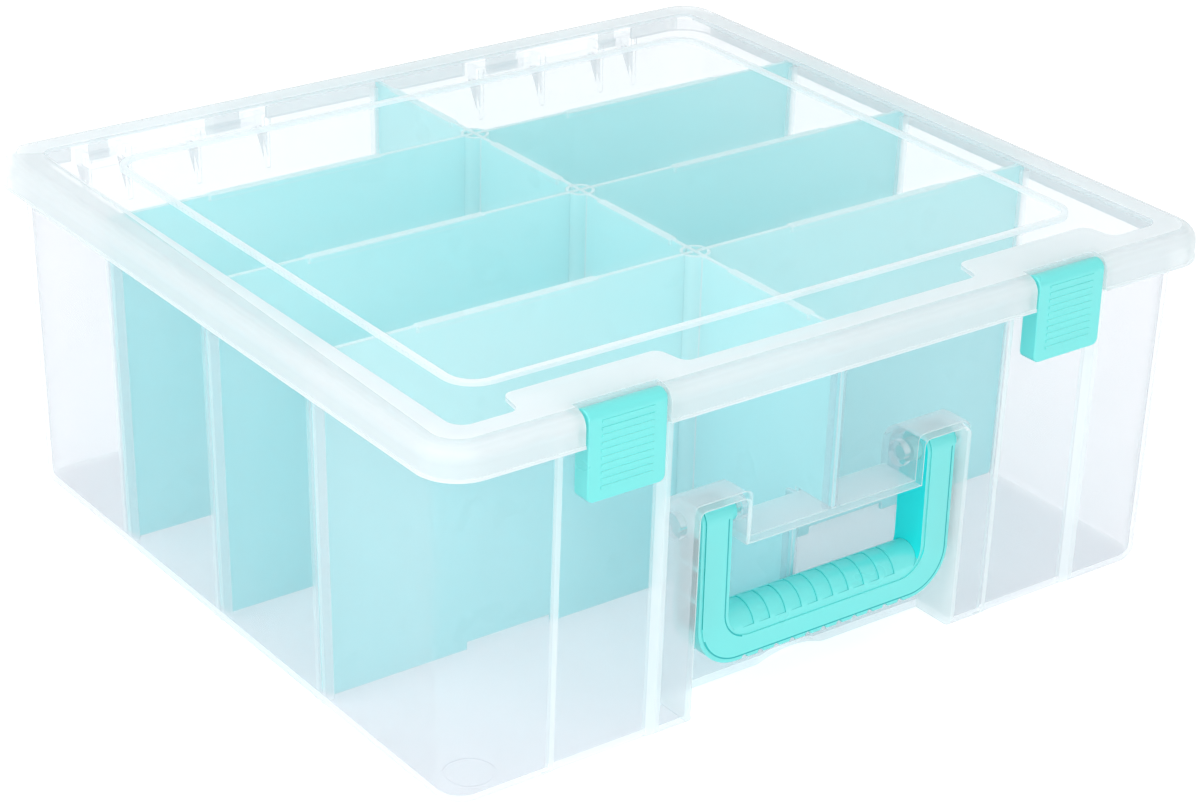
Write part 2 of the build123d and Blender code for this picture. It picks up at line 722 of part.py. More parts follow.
# Handle
with BuildPart() as handle:
    # U seen from the front, with a raised face inside its border and round arm ends about the pivot
    for inset, front in ((0, handle_front + face_step), (face_border, handle_front)):
        with BuildSketch(Plane.XZ.offset(-handle_back)) as handle_outline:
            with Locations((0, handle_bottom + inset)):
                Rectangle(
                    2 * (handle_half_width - inset),
                    pivot_height - handle_bottom - inset,
                    align=(Align.CENTER, Align.MIN),
                )
            fillet(handle_outline.vertices().group_by(Axis.Y)[0], handle_outer_radius - inset)
        extrude(amount=handle_back - front)
        for start in (arm_inner + inset, inset - handle_half_width):
            with BuildSketch(Plane.YZ.offset(start)):
                with Locations((pivot_y, pivot_height)):
                    Circle(pivot_y - front)
            extrude(amount=arm_width - 2 * inset)
    # The raised face keeps the same border round the opening
    with BuildSketch(Plane.XZ.offset(-handle_front - face_step)) as face_opening:
        with Locations((0, crest_centre - face_border / 2)):
            Rectangle(2 * (arm_inner + face_border), pivot_height, align=(Align.CENTER, Align.MIN))
        fillet(face_opening.vertices().group_by(Axis.Y)[0], handle_inner_radius + face_border)
    extrude(amount=face_step, mode=Mode.SUBTRACT)
    add(grip_space.part, mode=Mode.SUBTRACT)

    # Scallops across the grip, from the front to just behind the crest
    grip_axis = Axis((0, crest_y, crest_centre), (-1, 0, 0))
    start_angle = radians(scallop_start_angle)
    with BuildSketch(
        Plane((0, crest_y, crest_centre), x_dir=(1, 0, 0), z_dir=(0, -sin(start_angle), -cos(start_angle)))
    ):
        with GridLocations(grip_pitch, 1, scallop_count, 1):
            Polygon(
                (0, crest_setback - scallop_depth),
                (0, crest_setback + overrun),
                (-scallop_width, crest_setback + overrun),
                (-scallop_width, crest_setback),
                align=None,
            )
    revolve(axis=grip_axis, revolution_arc=scallop_arc, mode=Mode.SUBTRACT)

    # Finger notches across the lower edge
    with BuildSketch(Plane.XZ.offset(-handle_back)):
        with Locations((0, handle_bottom)):
            with GridLocations(grip_pitch, 1, finger_notch_count, 1):
                Circle(finger_notch_radius)
    extrude(amount=handle_depth, mode=Mode.SUBTRACT)

    # Cores in the arms' outer sides, with cross ribs between them, from the bend up to the shoulders
    core_bottom = handle_bottom + core_rise
    core_top = pivot_height - pivot_shoulder_radius
    core_pitch = (core_top - core_bottom) / core_count
    for start in (handle_half_width - core_depth, -handle_half_width):
        with BuildSketch(Plane.YZ.offset(start)):
            with Locations((pivot_y, (core_bottom + core_top) / 2)):
                with GridLocations(1, core_pitch, 1, core_count):
                    Rectangle(handle_depth - 2 * core_edge, core_pitch - core_rib)
        extrude(amount=core_depth, mode=Mode.SUBTRACT)

    # Shoulders and pins on both sides of each arm end
    for face, wall in (
        (arm_inner, tower_inner),
        (-arm_inner, -tower_inner),
        (handle_half_width, alcove_width / 2),
        (-handle_half_width, -alcove_width / 2),
    ):
        way = 1 if wall > face else -1
        with BuildSketch(Plane.YZ.offset(face)):
            with Locations((pivot_y, pivot_height)):
                Circle(pivot_shoulder_radius)
        extrude(amount=wall - face - way * pivot_side_gap)
        with BuildSketch(Plane.YZ.offset(face)):
            with Locations((pivot_y, pivot_height)):
                Circle(pivot_pin_radius)
        extrude(amount=wall - face + way * pivot_pin_reach)

handle.part.label = "handle"
export_step(handle.part, "parts/handle.step")

# Long divider, cut away over the alcove and its arch, with a slotted round post at each row
with BuildPart() as long_divider:
    shelf_clear = shelf_top + divider_shelf_gap
    arch_clear = base_arch_height + tray_wall + divider_shelf_gap
    foot_front = arch_end + tray_wall + divider_shelf_gap
    with BuildSketch(Plane.YZ.offset(-divider_thickness / 2)):
        with BuildLine():
            Polyline(
                (foot_front, tray_floor),
                (end_wall(tray_floor) - divider_inset - divider_foot_chamfer, tray_floor),
                (end_wall(tray_floor) - divider_inset, tray_floor + divider_foot_chamfer),
                (end_wall(divider_top) - divider_inset, divider_top),
                (divider_inset - end_wall(divider_top), divider_top),
                (divider_inset - end_wall(shelf_clear), shelf_clear),
                (alcove_back(shelf_clear) + divider_inset, shelf_clear),
                (alcove_back(arch_clear) + divider_inset, arch_clear),
                (foot_front, arch_clear),
                close=True,
            )
        make_face()
    extrude(amount=divider_thickness)
    with BuildSketch(Plane.XY.offset(tray_floor)):
        for row in rows.values():
            with Locations((0, row)):
                Circle(post_radius)
                Circle(post_radius - post_wall, mode=Mode.SUBTRACT)
                Rectangle(2 * post_radius, track_gap, mode=Mode.SUBTRACT)
    extrude(amount=divider_top - tray_floor)
    lip_middles = [
        (rows["back"] + end_wall(divider_top)) / 2,
        (rows["back"] + rows["middle"]) / 2,
        (rows["middle"] + rows["front"]) / 2,
        (rows["front"] - end_wall(divider_top)) / 2,
    ]
    with BuildSketch(Plane.XY.offset(divider_top - lip_height)):
        for middle in lip_middles:
            with Locations((0, middle)):
                Rectangle(lip_thickness, long_lip_length)
    extrude(amount=lip_height)

long_divider.part.label = "long_divider"
export_step(long_divider.part, "parts/long_divider.step")

# Cross dividers, one on each side of the long divider in every row
inner_end = divider_thickness / 2 + slot_gap
foot_middle = (inner_end + side_wall(0) - divider_inset) / 2
for row_name, row in rows.items():
    for side_name, side in (("left", -1), ("right", 1)):
        with BuildPart() as cross_divider:
            with BuildSketch(Plane.XZ.offset(-row - divider_thickness / 2)):
                with BuildLine():
                    Polyline(
                        (side * inner_end, tray_floor),
                        (side * (foot_middle - foot_notch_length / 2), tray_floor),
                        (side * (foot_middle - foot_notch_length / 2), tray_floor + foot_notch_height),
                        (side * (foot_middle + foot_notch_length / 2), tray_floor + foot_notch_height),
                        (side * (foot_middle + foot_notch_length / 2), tray_floor),
                        (side * (side_wall(tray_floor) - divider_inset - divider_foot_chamfer), tray_floor),
                        (side * (side_wall(tray_floor) - divider_inset), tray_floor + divider_foot_chamfer),
                        (side * (side_wall(divider_top) - divider_inset), divider_top),
                        (side * inner_end, divider_top),
                        close=True,
                    )
                make_face()
            extrude(amount=divider_thickness)
            with BuildSketch(Plane.XY.offset(divider_top - lip_height)):
                with Locations((side * cross_lip_middle, row)):
                    Rectangle(cross_lip_length, lip_thickness)
            extrude(amount=lip_height)
        name = f"{row_name}_{side_name}_divider"
        cross_divider.part.label = name
        export_step(cross_divider.part, f"parts/{name}.step")
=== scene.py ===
import json
from math import cos, radians, sin

import bmesh
import bpy
from mathutils import Matrix, Vector


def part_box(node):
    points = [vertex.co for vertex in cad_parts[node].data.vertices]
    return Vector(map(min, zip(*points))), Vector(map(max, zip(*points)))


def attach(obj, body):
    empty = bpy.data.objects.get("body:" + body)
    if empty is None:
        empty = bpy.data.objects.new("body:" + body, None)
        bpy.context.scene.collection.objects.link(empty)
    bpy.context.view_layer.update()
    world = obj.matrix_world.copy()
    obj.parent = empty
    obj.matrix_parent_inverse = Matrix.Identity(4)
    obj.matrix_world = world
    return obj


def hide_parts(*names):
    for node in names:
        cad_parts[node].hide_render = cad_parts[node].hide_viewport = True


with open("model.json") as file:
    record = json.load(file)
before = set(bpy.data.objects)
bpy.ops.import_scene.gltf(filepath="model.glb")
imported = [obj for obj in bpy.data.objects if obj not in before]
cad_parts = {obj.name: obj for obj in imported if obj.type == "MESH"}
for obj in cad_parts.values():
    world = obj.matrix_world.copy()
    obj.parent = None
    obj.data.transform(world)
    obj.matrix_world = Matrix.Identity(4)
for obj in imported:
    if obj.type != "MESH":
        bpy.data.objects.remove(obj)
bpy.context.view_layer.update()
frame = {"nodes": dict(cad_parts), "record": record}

scene = bpy.context.scene
scene.view_settings.view_transform = "Standard"
scene.cycles.transparent_max_bounces = 32
scene.cycles.max_bounces = 16
scene.cycles.diffuse_bounces = 12

# Linear colours of the clear plastic's haze
CLEAR = (0.80, 0.80, 0.83, 1.0)
CLEAR_EDGE = (0.97, 0.99, 1.0, 1.0)
LID_CLEAR = (0.89, 0.92, 0.93, 1.0)

# Linear colours of the light that one surface of the clear plastic lets through
TRAY_DEPTH = (0.967, 0.966, 0.974, 1.0)
SOFT_DEPTH = (0.994, 0.996, 0.998, 1.0)
LID_DEPTH = (0.990, 0.991, 0.993, 1.0)

# Linear colours of the aqua plastic, each with the shade that it drifts towards
AQUA = ((0.17, 0.84, 0.82, 1.0), (0.16, 0.85, 0.83, 1.0))
# Painted highlight: a lighter aqua for the rounded edges and the grip ribs' flanks
AQUA_PAINTED_HIGHLIGHT = ((0.40, 0.94, 0.92, 1.0), (0.44, 0.96, 0.94, 1.0))
# Painted shade: a dark aqua for the creases, grooves and hollows of the handle
AQUA_PAINTED_SHADE = ((0.01, 0.46, 0.47, 1.0), (0.02, 0.50, 0.51, 1.0))
# Painted shade and bounce light: a deep aqua for the inner sides of the handle's arms
AQUA_PAINTED_BOUNCE_SHADE = ((0.02, 0.96, 0.96, 1.0), (0.03, 0.98, 0.98, 1.0))
DIVIDER = ((0.60, 0.98, 0.99, 1.0), (0.63, 0.99, 1.0, 1.0))
# Painted highlight: a paler aqua for the dividers' tops and rounded edges
DIVIDER_PAINTED_HIGHLIGHT = ((0.86, 0.99, 1.0, 1.0), (0.89, 1.0, 1.0, 1.0))

PLASTIC_IOR = 1.49

# Lid: heights of the skirt's foot, the frame's top and both sides of the panel, the reach of
# the ridge to the sides and ends, and the space of the hooks behind the back skirt
LID_FOOT = 0.1437
LID_TOP = 0.1580
PANEL_SIDES = (0.1562, 0.1546)
PANEL_TOLERANCE = 0.0001
RIDGE_SIDE = 0.157
RIDGE_END = 0.137
HOOK_DEPTHS = (0.160, 0.1776)
HOOK_TOP = 0.1555

# Haze of the lid's frame and skirt, as shares of the height from the foot to the top, with painted
# highlights where it rises at the foot's bead and in the middle of the rounding
FRAME_HAZE_AND_HIGHLIGHTS = ((0.0, 0.80), (0.12, 0.60), (0.45, 0.62), (0.78, 0.80), (0.90, 0.72), (1.0, 0.42))

# Tray: floor, latch channels, gussets and hinge brackets
FLOOR_TOP = 0.0045
CHANNEL_FRONT = -0.16
CHANNEL_SIDES = ((0.0852, 0.0896), (0.1339, 0.1383))
TRAY_BACK = 0.15
GUSSET_HEIGHTS = (0.12, 0.1475)
GUSSET_WIDTHS = (0.05, 0.16)
BRACKET_FRONT = 0.1705
BRACKET_FOOT = 0.1400

# Tray: tracks of the dividers on the side walls and of the long divider on the back wall
DIVIDER_ROWS = (0.0875, 0.0071, -0.0734)
TRACK_HALF_WIDTH = 0.0040
TRACK_INNER = 0.174
TRACK_OUTER = 0.180
TRACK_FOOT = 0.005
MIDDLE_TRACK_HALF_WIDTH = 0.0045
MIDDLE_TRACK_BACK = 0.1665

# Tray: the alcove with its side walls, its shelf and the tops of its towers
ALCOVE_BACK = -0.14
ALCOVE_HEIGHTS = (0.004, 0.0985)
ALCOVE_REACH = 0.0735
ALCOVE_SIDE = 0.060
SHELF_FOOT = 0.070
TOWER_TOP = (0.0945, 0.0975)
TOWER_SIDES = (0.043, 0.0715)
TOWER_BACK = -0.13
TOWER_RADIUS = 0.0025

# Tray: the alcove's border in the front wall, without the sockets of the handle's pins
BORDER_HEIGHTS = (0.004, 0.0975)
BORDER_REACH = 0.0705
BORDER_FRONT = -0.168
BORDER_RADIUS = 0.0010
SOCKET_REACH = 0.0075
JOINTS = {joint["name"]: joint for joint in frame["record"]["behaviour"]["joints"]}
HANDLE_PIVOT = Vector(JOINTS["handle_swing"]["pos_m"])

# Handle: its raised face, the painted shade line round it, the shoulders, the hollows and the arms
HANDLE_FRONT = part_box("handle")[0][1]
HANDLE_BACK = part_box("handle")[1][1]
FACE_TOLERANCE = 0.0001
FACE_FOOT = 0.0006
FACE_LEAN = 0.5
PAINTED_SHADE_WIDTH = 0.0006
SHOULDER_LEVEL = 0.0895
SHOULDER_RADIUS = 0.0018
HOLLOW_WIDTHS = (0.0548, 0.0651)
HOLLOW_EDGE = 0.0024
HOLLOW_FOOT = 0.037
ARM_INNER = (0.049, 0.052)

# Latches: the front of the grip ribs and the height that they end at
RIB_FRONT = -0.1783
RIB_TOP = 0.150

# Radii of the sharp edges that each kind of piece has left
TRAY_ROUNDING = 0.0006
LID_ROUNDING = 0.0005
AQUA_ROUNDING = 0.0003
DIVIDER_ROUNDING = 0.0004

# Corners that lie closer are one, facets that turn by less are one face, and edges that turn
# by more are sharp
MERGE_DISTANCE = 0.000005
FLAT = radians(0.5)
SHARP = radians(35)

# How much of a normal lies along an axis, from a face that leans to one that is straight
SLANTED = 0.3
STEEP = 0.7
ALONG = 0.9
STRAIGHT = 0.99

# Numbers of the materials for the painted highlights on rounded edges and for the painted shade in
# creases and lines
PAINTED_HIGHLIGHT_SLOT = 1
PAINTED_SHADE_SLOT = 2


# Materials
def new_material(name):
    """A material with an empty node tree, its nodes and its links."""
    material = bpy.data.materials.new(name)
    material.use_nodes = True
    nodes = material.node_tree.nodes
    nodes.clear()
    return material, nodes, material.node_tree.links


def mould_texture(nodes, links, scale, strength):
    """The fine grain that a mould leaves, as a normal for a shader."""
    place = nodes.new("ShaderNodeTexCoord")
    grain = nodes.new("ShaderNodeTexNoise")
    grain.inputs["Scale"].default_value = scale
    grain.inputs["Detail"].default_value = 3.0
    bump = nodes.new("ShaderNodeBump")
    bump.inputs["Strength"].default_value = strength
    bump.inputs["Distance"].default_value = 0.0002
    links.new(place.outputs["Object"], grain.inputs["Vector"])
    links.new(grain.outputs["Fac"], bump.inputs["Height"])
    return bump.outputs["Normal"]


def flow_variation(nodes, links, scale, low, high):
    """A slow change from low to high, like the flow of plastic into a mould."""
    place = nodes.new("ShaderNodeTexCoord")
    flow = nodes.new("ShaderNodeTexNoise")
    flow.inputs["Scale"].default_value = scale
    flow.inputs["Detail"].default_value = 2.0
    spread = nodes.new("ShaderNodeMapRange")
    spread.inputs["From Min"].default_value = 0.3
    spread.inputs["From Max"].default_value = 0.7
    spread.inputs["To Min"].default_value = low
    spread.inputs["To Max"].default_value = high
    links.new(place.outputs["Object"], flow.inputs["Vector"])
    links.new(flow.outputs["Fac"], spread.inputs["Value"])
    return spread.outputs["Result"]


def haze_by_height(nodes, links, steps):
    """A haze that goes smoothly from step to step between the lid's foot and its top.

    A step is a share of that height and the haze there.
    """
    place = nodes.new("ShaderNodeTexCoord")
    parts = nodes.new("ShaderNodeSeparateXYZ")
    share = nodes.new("ShaderNodeMapRange")
    share.inputs["From Min"].default_value = LID_FOOT
    share.inputs["From Max"].default_value = LID_TOP
    ramp = nodes.new("ShaderNodeValToRGB")
    ramp.color_ramp.interpolation = "EASE"
    points = ramp.color_ramp.elements
    while len(points) < len(steps):
        points.new(0.5)
    for point, (position, haze) in zip(points, steps):
        point.position = position
        point.color = (haze, haze, haze, 1.0)
    links.new(place.outputs["Object"], parts.inputs["Vector"])
    links.new(parts.outputs["Z"], share.inputs["Value"])
    links.new(share.outputs["Result"], ramp.inputs["Fac"])
    return ramp.outputs["Color"]


def body_shader(nodes, links, skin, through, glow):
    """The skin of a plastic mixed with the light that comes through it."""
    body = nodes.new("ShaderNodeMixShader")
    body.inputs["Fac"].default_value = glow
    links.new(skin.outputs["BSDF"], body.inputs[1])
    links.new(through.outputs["BSDF"], body.inputs[2])
    return body.outputs["Shader"]


def clear_plastic(name, colour, depth, haze, grazing, glow=0.5):
    """Clear moulded plastic: mostly see-through, and hazier towards grazing angles.

    The haze is one number, or steps of it for haze_by_height. The glow is the share of the
    haze that lets light through.
    """
    material, nodes, links = new_material(name)
    skin = nodes.new("ShaderNodeBsdfPrincipled")
    skin.inputs["Base Color"].default_value = colour
    skin.inputs["IOR"].default_value = PLASTIC_IOR
    links.new(flow_variation(nodes, links, 25.0, 0.16, 0.26), skin.inputs["Roughness"])
    links.new(mould_texture(nodes, links, 900.0, 0.02), skin.inputs["Normal"])
    through = nodes.new("ShaderNodeBsdfTranslucent")
    through.inputs["Color"].default_value = colour
    clear = nodes.new("ShaderNodeBsdfTransparent")
    clear.inputs["Color"].default_value = depth
    slant = nodes.new("ShaderNodeLayerWeight")
    slant.inputs["Blend"].default_value = 0.5
    rise = nodes.new("ShaderNodeMath")
    rise.operation = "POWER"
    rise.inputs[1].default_value = 3.0
    links.new(slant.outputs["Facing"], rise.inputs[0])
    amount = nodes.new("ShaderNodeMath")
    amount.operation = "MULTIPLY_ADD"
    amount.use_clamp = True
    amount.inputs[1].default_value = grazing
    links.new(rise.outputs["Value"], amount.inputs[0])
    if isinstance(haze, tuple):
        own_haze = haze_by_height(nodes, links, haze)
    else:
        own_haze = flow_variation(nodes, links, 14.0, haze * 0.9, haze * 1.1)
    links.new(own_haze, amount.inputs[2])
    sheet = nodes.new("ShaderNodeMixShader")
    links.new(amount.outputs["Value"], sheet.inputs["Fac"])
    links.new(clear.outputs["BSDF"], sheet.inputs[1])
    links.new(body_shader(nodes, links, skin, through, glow), sheet.inputs[2])
    output = nodes.new("ShaderNodeOutputMaterial")
    links.new(sheet.outputs["Shader"], output.inputs["Surface"])
    return material


def tinted_plastic(name, colours, roughness, glow, shine=1.0, coat=0.5):
    """Aqua moulded plastic, of which the glow is the share that lets light through."""
    material, nodes, links = new_material(name)
    tint = nodes.new("ShaderNodeMix")
    tint.data_type = "RGBA"
    tint.inputs["A"].default_value, tint.inputs["B"].default_value = colours
    links.new(flow_variation(nodes, links, 18.0, 0.0, 0.35), tint.inputs["Factor"])
    skin = nodes.new("ShaderNodeBsdfPrincipled")
    skin.inputs["IOR"].default_value = PLASTIC_IOR
    skin.inputs["Specular IOR Level"].default_value = shine
    skin.inputs["Coat Weight"].default_value = coat
    skin.inputs["Coat Roughness"].default_value = 0.3
    links.new(tint.outputs["Result"], skin.inputs["Base Color"])
    wear = flow_variation(nodes, links, 40.0, roughness - 0.05, roughness + 0.07)
    links.new(wear, skin.inputs["Roughness"])
    links.new(mould_texture(nodes, links, 1400.0, 0.03), skin.inputs["Normal"])
    through = nodes.new("ShaderNodeBsdfTranslucent")
    links.new(tint.outputs["Result"], through.inputs["Color"])
    output = nodes.new("ShaderNodeOutputMaterial")
    links.new(body_shader(nodes, links, skin, through, glow), output.inputs["Surface"])
    return material


tray_clear = clear_plastic("tray_clear", CLEAR, TRAY_DEPTH, 0.13, 0.4)
tray_frosted = clear_plastic("tray_frosted", CLEAR_EDGE, SOFT_DEPTH, 0.42, 0.4, glow=0.15)
tray_gussets = clear_plastic("tray_gussets", CLEAR, TRAY_DEPTH, 0.50, 0.3)
tray_floor = clear_plastic("tray_floor", CLEAR, TRAY_DEPTH, 0.24, 0.2, glow=0.1)
# Painted highlights on the tray's rounded edges, the channels' bends and the alcove's border
tray_painted_highlights = clear_plastic("tray_painted_highlights", CLEAR_EDGE, SOFT_DEPTH, 0.55, 0.4)
tray_hinge = clear_plastic("tray_hinge", CLEAR_EDGE, SOFT_DEPTH, 0.05, 0.1)
lid_clear = clear_plastic("lid_clear", CLEAR_EDGE, LID_DEPTH, 0.11, 0.4)
# Painted highlights on the lid's rounded edges and its ridge
lid_painted_highlights = clear_plastic("lid_painted_highlights", CLEAR_EDGE, LID_DEPTH, 0.85, 0.15)
# The frame's haze carries painted highlights at the skirt's foot and along the rounding
lid_frame = clear_plastic("lid_frame", LID_CLEAR, LID_DEPTH, FRAME_HAZE_AND_HIGHLIGHTS, 0.25)
lid_hooks = clear_plastic("lid_hooks", CLEAR_EDGE, LID_DEPTH, 0.03, 0.1)
aqua_satin = tinted_plastic("aqua_satin", AQUA, 0.32, 0.25, coat=0.8)
# Painted highlight on the rounded edges of the latches and the handle
aqua_painted_highlights = tinted_plastic("aqua_painted_highlights", AQUA_PAINTED_HIGHLIGHT, 0.28, 0.25)
# Painted shade in the handle's creases, grooves, hollows and along its raised face
aqua_painted_shade = tinted_plastic("aqua_painted_shade", AQUA_PAINTED_SHADE, 0.45, 0.1, 0.3, 0.0)
# Painted shade and bounce light on the inner sides of the handle's arms
aqua_painted_bounce_shade = tinted_plastic("aqua_painted_bounce_shade", AQUA_PAINTED_BOUNCE_SHADE, 0.40, 0.25, 0.4, 0.0)
divider_body = tinted_plastic("divider_body", DIVIDER, 0.30, 0.35, 0.6, 0.2)
# Painted highlights on the dividers' tops and rounded edges
divider_painted_highlights = tinted_plastic("divider_painted_highlights", DIVIDER_PAINTED_HIGHLIGHT, 0.25, 0.35, 0.6, 0.2)


# Material choosers: each gives the number of a face's material from its middle and its normal,
# painted highlights and painted shade among them
def within(value, ends):
    """Whether a value lies between two ends."""
    return ends[0] < value < ends[1]


def tray_materials_and_highlights(middle, normal):
    """Clear walls (0), painted highlights on the channels' bends (1), frosted tracks and alcove
    (2), gussets (3), floor (4).
    """
    width = abs(middle.x)
    across = abs(normal.x) > ALONG
    if middle.z < FLOOR_TOP and normal.z > ALONG:
        return 4
    if middle.y < CHANNEL_FRONT and any(within(width, side) for side in CHANNEL_SIDES):
        return 1
    at_back = middle.y > TRAY_BACK
    if at_back and across and within(middle.z, GUSSET_HEIGHTS) and within(width, GUSSET_WIDTHS):
        return 3
    in_row = any(abs(middle.y - row) < TRACK_HALF_WIDTH for row in DIVIDER_ROWS)
    side_wall = width > TRACK_INNER and middle.z > TRACK_FOOT
    if in_row and side_wall and (abs(normal.y) > ALONG or width < TRACK_OUTER):
        return 2
    if at_back and width < MIDDLE_TRACK_HALF_WIDTH and (across or middle.y < MIDDLE_TRACK_BACK):
        return 2
    in_alcove = middle.y < ALCOVE_BACK and within(middle.z, ALCOVE_HEIGHTS) and width < ALCOVE_REACH
    side = across and width > ALCOVE_SIDE
    top = middle.z > SHELF_FOOT and abs(normal.z) > SLANTED
    return 2 if in_alcove and (side or top) else 0


def on_brackets(middle):
    """The tray's hinge brackets, bars and shelf."""
    return middle.y > BRACKET_FRONT and middle.z > BRACKET_FOOT


def on_hooks(middle):
    """The lid's hooks and the inner side of its back skirt, which stay clear."""
    return within(middle.y, HOOK_DEPTHS) and middle.z < HOOK_TOP


def lid_materials_and_highlights(middle, normal):
    """Clear panel (0), painted highlight on the ridge (1), frosted frame and skirt with their
    painted highlights (2) and clear hooks (3).
    """
    on_panel = any(abs(middle.z - height) < PANEL_TOLERANCE for height in PANEL_SIDES)
    if abs(normal.z) > ALONG and on_panel:
        return 0
    if on_hooks(middle):
        return 3
    inside_frame = abs(middle.x) < RIDGE_SIDE and abs(middle.y) < RIDGE_END
    return 1 if inside_frame and middle.z > PANEL_SIDES[0] else 2


def latch_rib_highlights(middle, normal):
    """Painted highlights on the flanks of the fine grip ribs (1), lighter than the rest (0) to lift
    their shade.
    """
    return 1 if middle.y < RIB_FRONT and abs(normal.z) > STEEP and middle.z < RIB_TOP else 0


def handle_painted_shade(middle, normal):
    """Painted shade in the hollows (2), painted shade and bounce light on the arms' inner sides
    (3), and the rest (0).
    """
    width = abs(middle.x)
    depth = within(middle.y, (HANDLE_FRONT + HOLLOW_EDGE, HANDLE_BACK - HOLLOW_EDGE))
    if within(width, HOLLOW_WIDTHS) and depth and middle.z > HOLLOW_FOOT:
        return 2
    inwards = middle.x * normal.x < 0 and abs(normal.x) > ALONG
    return 3 if inwards and within(width, ARM_INNER) else 0


def divider_top_highlights(middle, normal):
    """Painted highlights on the upper faces (1), lighter than the rest (0)."""
    return 1 if normal.z > ALONG else 0


# Shapes that are given to a piece in edit mode
def round_edges(piece, chosen, width, segments, material=-1, clamp=True):
    """Rounds the edges that a test chooses, and gives the rounding a material by its number."""
    bpy.ops.mesh.select_mode(type="EDGE")
    bpy.ops.mesh.select_all(action="DESELECT")
    mesh = bmesh.from_edit_mesh(piece.data)
    for edge in mesh.edges:
        if len(edge.link_faces) == 2 and chosen(edge):
            edge.select = True
    bmesh.update_edit_mesh(piece.data)
    bpy.ops.mesh.bevel(offset=width, segments=segments, material=material, clamp_overlap=clamp)


def shape_tray(piece):
    """Rounds the tops of the alcove's towers and paints a highlight on the edge of the alcove's
    border.
    """

    def on_tower_top(edge):
        start, end = (corner.co for corner in edge.verts)
        if abs(edge.calc_face_angle_signed()) < SHARP or start.y > TOWER_BACK:
            return False
        high = within(start.z, TOWER_TOP) and within(end.z, TOWER_TOP)
        beside = within(abs(start.x), TOWER_SIDES) and within(abs(end.x), TOWER_SIDES)
        return high and beside and abs((end - start).normalized().y) > ALONG

    def on_border(edge):
        if abs(edge.calc_face_angle_signed()) < SHARP:
            return False
        return all(
            within(place.z, BORDER_HEIGHTS)
            and abs(place.x) < BORDER_REACH
            and place.y < BORDER_FRONT
            and (Vector((0.0, place.y, place.z)) - HANDLE_PIVOT).length > SOCKET_REACH
            for place in (corner.co for corner in edge.verts)
        )

    round_edges(piece, on_tower_top, TOWER_RADIUS, segments=4, clamp=False)
    round_edges(piece, on_border, BORDER_RADIUS, segments=3, material=PAINTED_HIGHLIGHT_SLOT, clamp=False)


def on_raised_face(face):
    """Whether a face of the handle lies in the plane of its raised face."""
    at_front = face.calc_center_median().y < HANDLE_FRONT + FACE_TOLERANCE
    return face.normal.y < -STRAIGHT and at_front


def paint_shade_by_raised_face(piece):
    """Insets a strip round the handle's raised face and paints shade on it along the right and
    lower border.
    """
    bpy.ops.mesh.select_mode(type="FACE")
    bpy.ops.mesh.select_all(action="DESELECT")
    mesh = bmesh.from_edit_mesh(piece.data)
    for face in mesh.faces:
        face.select = on_raised_face(face)
    bmesh.update_edit_mesh(piece.data)
    bpy.ops.mesh.inset(thickness=PAINTED_SHADE_WIDTH)
    mesh = bmesh.from_edit_mesh(piece.data)
    for face in mesh.faces:
        if face.select or not on_raised_face(face):
            continue
        neighbours = [other.normal for edge in face.edges for other in edge.link_faces]
        walls = [normal for normal in neighbours if normal.y > -FACE_LEAN]
        if any(wall.x > SLANTED or wall.z < -SLANTED for wall in walls):
            face.material_index = PAINTED_SHADE_SLOT
    bmesh.update_edit_mesh(piece.data)


def shape_handle(piece):
    """Rounds the arms' shoulders and paints shade in the grip's grooves, the creases and round the
    raised face.
    """

    def on_shoulder(edge):
        high = all(corner.co.z > SHOULDER_LEVEL for corner in edge.verts)
        return high and edge.calc_face_angle_signed() > SHARP

    def in_crease(edge):
        on_foot = all(corner.co.y < HANDLE_FRONT + FACE_FOOT for corner in edge.verts)
        return edge.calc_face_angle_signed() < -SHARP and not on_foot

    round_edges(piece, on_shoulder, SHOULDER_RADIUS, segments=3)
    # Painted shade in the concave creases and the grip's grooves
    round_edges(piece, in_crease, PAINTED_SHADE_WIDTH, segments=2, material=PAINTED_SHADE_SLOT)
    paint_shade_by_raised_face(piece)


